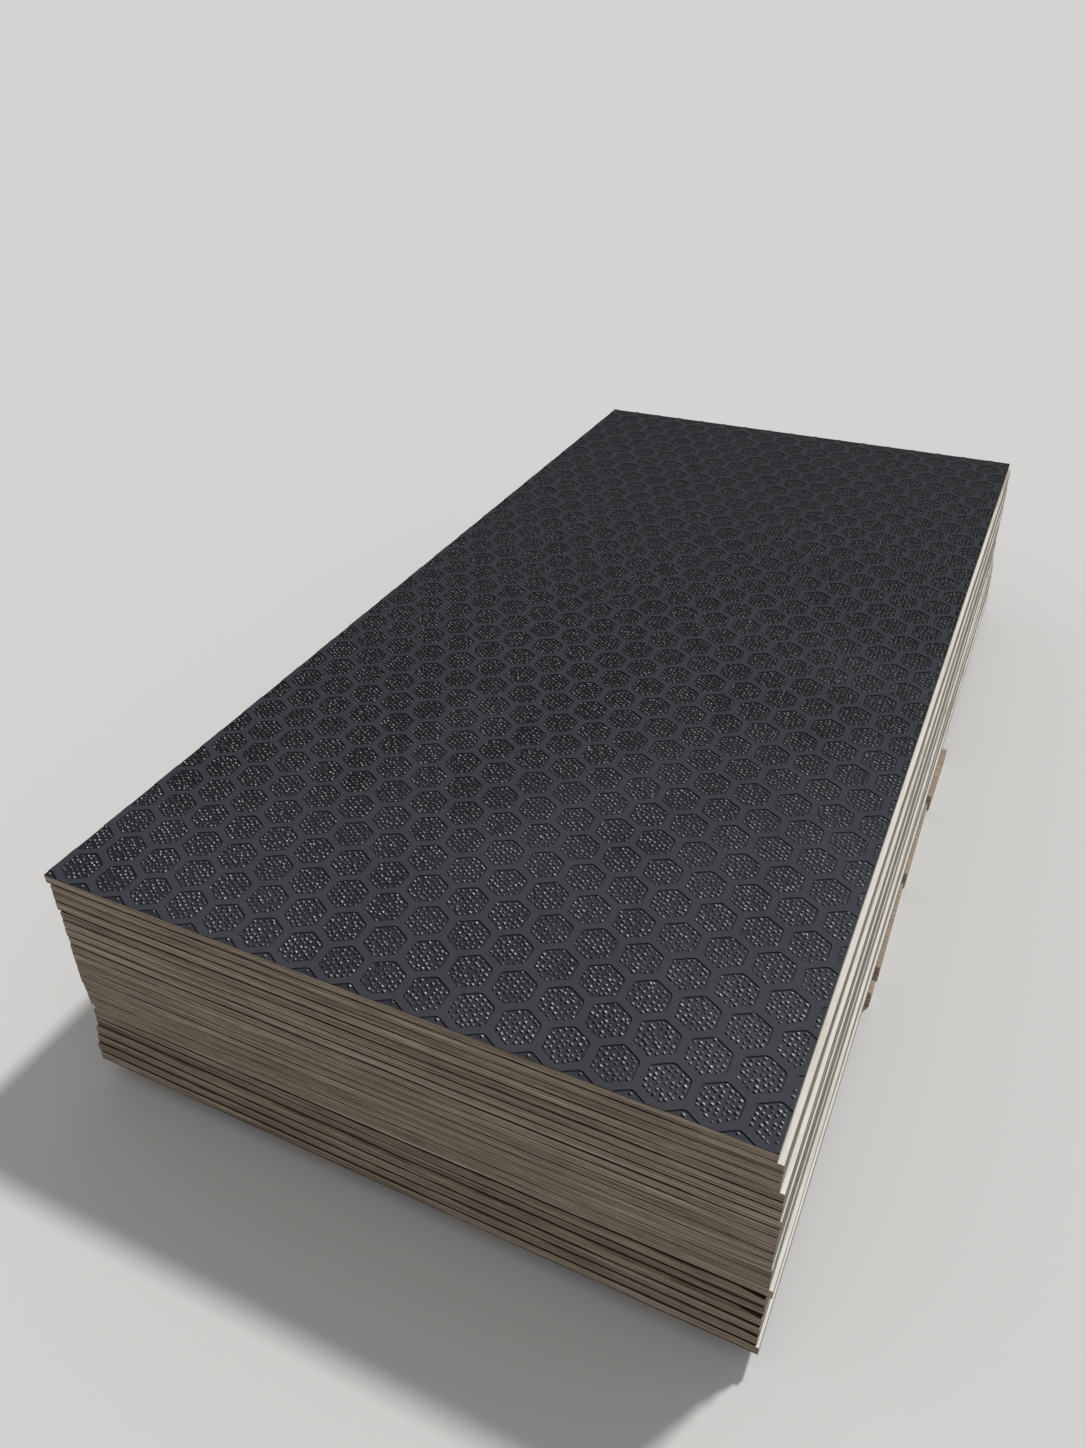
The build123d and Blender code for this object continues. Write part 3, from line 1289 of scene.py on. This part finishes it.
@dataclass(frozen=True)
class Bearers:
    """The timber under the stack, flat and crosswise, with rounded edges and eased ends."""

    pieces: tuple[tuple[str, str], ...] = (
        ("bearer_batten", "timber_batten"),
        ("bearer_plank_near", "timber_plank_near"),
        ("bearer_plank_middle", "timber_plank_middle"),
        ("bearer_plank_far", "timber_plank_far"),
    )
    rounding_mm: float = 3.0
    arc_points: int = 4
    end_ease_mm: float = 1.2
    station_mm: float = 60.0
    wear_mm: float = 0.7
    first_seed: int = 500
    seed_step: int = 10

    def outline(self, half: float, worn: tuple[float, float], shrink: float) -> list[tuple[float, float]]:
        """Draws a timber's section.

        Args:
            half: half its width, in metres.
            worn: how much its two edges have lost, in millimetres.
            shrink: how far the whole section is drawn in, in millimetres.

        Returns:
            Points along Y and Z, in metres, anticlockwise.
        """
        r = self.rounding_mm * MM
        low, high = shrink * MM, (BEARER_HEIGHT - shrink) * MM
        left, right = -half + (worn[0] + shrink) * MM, half - (worn[1] + shrink) * MM
        turns = [(left, low, 180), (right, low, 270), (right, high, 0), (left, high, 90)]
        points = []
        for y, z, start in turns:
            middle_y = y + r if y == left else y - r
            middle_z = z + r if z == low else z - r
            for step in range(self.arc_points):
                a = math.radians(start + 90 * step / (self.arc_points - 1))
                points.append((middle_y + r * math.cos(a), middle_z + r * math.sin(a)))
        return points

    def build_one(self, node: str, name: str, seed: int, finish: Material) -> Object:
        """Builds one timber over its CAD node.

        Args:
            node: the CAD node that it replaces.
            name: the new piece's name.
            seed: the seed of its wear.
            finish: the timber's material.

        Returns:
            The timber.
        """
        place = Footprint.of_node(node)
        half = place.width / 2
        ease = self.end_ease_mm * MM
        count = round(place.width / (self.station_mm * MM))
        cuts = [(-half, self.end_ease_mm), (-half + ease, 0.0)]
        cuts += [(-half + place.width * i / count, 0.0) for i in range(1, count)]
        cuts += [(half - ease, 0.0), (half, self.end_ease_mm)]
        near, far = (drifting(seed + k, len(cuts), 0.0, self.wear_mm) for k in (0, 1))
        vertices, faces = [], []
        for (x, shrink), *worn in zip(cuts, near, far):
            for y, z in self.outline(place.length / 2, worn, shrink):
                vertices.append((*place.at(x, y), z))
        size = len(vertices) // len(cuts)
        last = len(vertices) - size
        for first in range(0, last, size):
            faces += band(first, size)
        faces += [range(size), range(last, len(vertices))]
        made = solid_object(name, vertices, faces, [finish])
        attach(made, "root")
        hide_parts(node)
        return made

    def build(self, finish: Material) -> list[Object]:
        """Builds the four timbers.

        Args:
            finish: the timber's material.

        Returns:
            The timbers, from the near end.
        """
        return [
            self.build_one(node, name, self.first_seed + self.seed_step * number, finish)
            for number, (node, name) in enumerate(self.pieces)
        ]


@dataclass(frozen=True)
class Studio:
    """A pale floor, soft light from behind and above, and the photograph's camera."""

    eye: tuple[float, float, float] = (0.69549, -2.04396, 1.6567)
    forward: tuple[float, float, float] = (-0.3622, 0.7373, -0.5703)
    right: tuple[float, float, float] = (0.9030, 0.4293, -0.0184)
    focal_px: float = 1098.2
    image_long_px: float = 1448.0
    sensor_mm: float = 36.0
    view_reach: float = 500.0
    sky: float = 0.40
    key: float = 2.1
    key_angle_deg: float = 5.0
    key_travel: tuple[float, float, float] = (-0.30, -0.62, -1.0)
    floor_half: float = 150.0
    floor_colour: str = "#d9d8d6"
    backdrop: str = "#e9e8e6"

    def light(self, scene: bpy.types.Scene) -> None:
        """Makes the soft sky, the plain backdrop that the camera sees and the key light.

        Args:
            scene: the scene that they light.
        """
        world = bpy.data.worlds.new("soft studio")
        world.use_nodes = True
        scene.world = world
        tree = world.node_tree
        sky = tree.nodes["Background"]
        fill(tree, sky, {"Color": (1, 1, 1, 1), "Strength": self.sky})
        seen = add(tree, "ShaderNodeBackground", {"Color": linear(self.backdrop), "Strength": 1.0})
        path = add(tree, "ShaderNodeLightPath").node
        direct = path.outputs["Is Camera Ray"]
        for ray in ("Is Glossy Ray", "Is Transmission Ray"):
            direct = add(tree, "MAXIMUM", {0: direct, 1: path.outputs[ray]})
        mixed = add(tree, "ShaderNodeMixShader", {0: direct, 1: sky.outputs[0], 2: seen})
        fill(tree, tree.nodes["World Output"], {"Surface": mixed})

        lamp = bpy.data.lights.new("key", "SUN")
        lamp.energy = self.key
        lamp.angle = math.radians(self.key_angle_deg)
        key = bpy.data.objects.new("key", lamp)
        key.rotation_mode = "QUATERNION"
        key.rotation_quaternion = Vector(self.key_travel).to_track_quat("-Z", "Y")
        scene.collection.objects.link(key)

    def place_camera(self, scene: bpy.types.Scene) -> None:
        """Places the camera where the photograph was taken from.

        Args:
            scene: the scene that gets the camera.
        """
        camera = bpy.data.cameras.new("camera")
        camera.sensor_width = self.sensor_mm
        camera.lens = self.sensor_mm * self.focal_px / self.image_long_px
        camera.clip_end = self.view_reach
        view = bpy.data.objects.new("camera", camera)
        back = -Vector(self.forward).normalized()
        side = Vector(self.right).normalized()
        up = back.cross(side).normalized()
        side = up.cross(back).normalized()
        turn = Matrix((side, up, back)).transposed().to_4x4()
        view.matrix_world = Matrix.Translation(self.eye) @ turn
        scene.collection.objects.link(view)
        scene.camera = view

    def build(self) -> None:
        """Makes the floor, the lights and the camera."""
        scene = bpy.context.scene
        scene.view_settings.view_transform = "Standard"
        self.light(scene)
        half = self.floor_half
        corners = [(-half, -half, 0), (half, -half, 0), (half, half, 0), (-half, half, 0)]
        finish, _, _ = new_material("pale studio floor")
        surface(finish, linear(self.floor_colour), 0.9, 0.0)
        floor = solid_object("floor", corners, [(0, 1, 2, 3)], [finish])
        self.place_camera(scene)


# To the eye: almost black, painted shade inside the seams, so that each seam reads as a gap.
SHADED_SEAM_VENEER = ShadedStainedStrip("face veneer inside the seams, painted dark as shade", "#4a3b30", "#241a13")
# To the eye: dull brown layers with sharp, dark glue lines between them, and painted shade at the seams.
END_EDGE = PlywoodEdge(
    "plywood edge, crosscut and weathered",
    EdgeRun.ACROSS,
    pale="#c2b4a4",
    body="#9c8d7c",
    dark="#68594b",
    seam="#291d15",
)
# To the eye: sun-bleached grey, kept darker and greyer than the crosscut ends as painted shade of grazing
# light, whole sheets told apart rather than their plies.
LONG_EDGE = PlywoodEdge(
    "plywood edge, ripped and bleached, painted grazing shade",
    EdgeRun.ALONG,
    pale="#9d9991",
    body="#878379",
    dark="#6f6b64",
    seam="#302d29",
    streak_mm=150.0,
    sheet_share=0.24,
    glue_share=0.4,
)


def main() -> None:
    """Builds the stack, reports each piece and writes how large it came out."""
    logging.basicConfig(level=logging.INFO, format="%(name)s: %(message)s")
    Studio().build()
    in_slot_order = (END_EDGE, LONG_EDGE, BareVeneer(), ShadedStainedStrip(), SHADED_SEAM_VENEER)
    finishes = [finish.make() for finish in in_slot_order]
    film, stud_film, timber = PhenolicFilm().make(), StudFilm().make(), SawnSoftwood().make()
    covering = AntiSlipFilm()
    pieces = [
        *SheetStack().build(finishes),
        covering.build_film([film, finishes[Slot.VENEER]]),
        *covering.build_studs(stud_film),
        *Bearers().build(timber),
    ]
    in_all = 0
    for piece in pieces:
        triangles = sum(len(p.vertices) - 2 for p in piece.data.polygons)
        LOG.info("%s: %d triangles", piece.name, triangles)
        in_all += triangles
    LOG.info("in all: %d triangles", in_all)


if __name__ == "__main__":
    main()
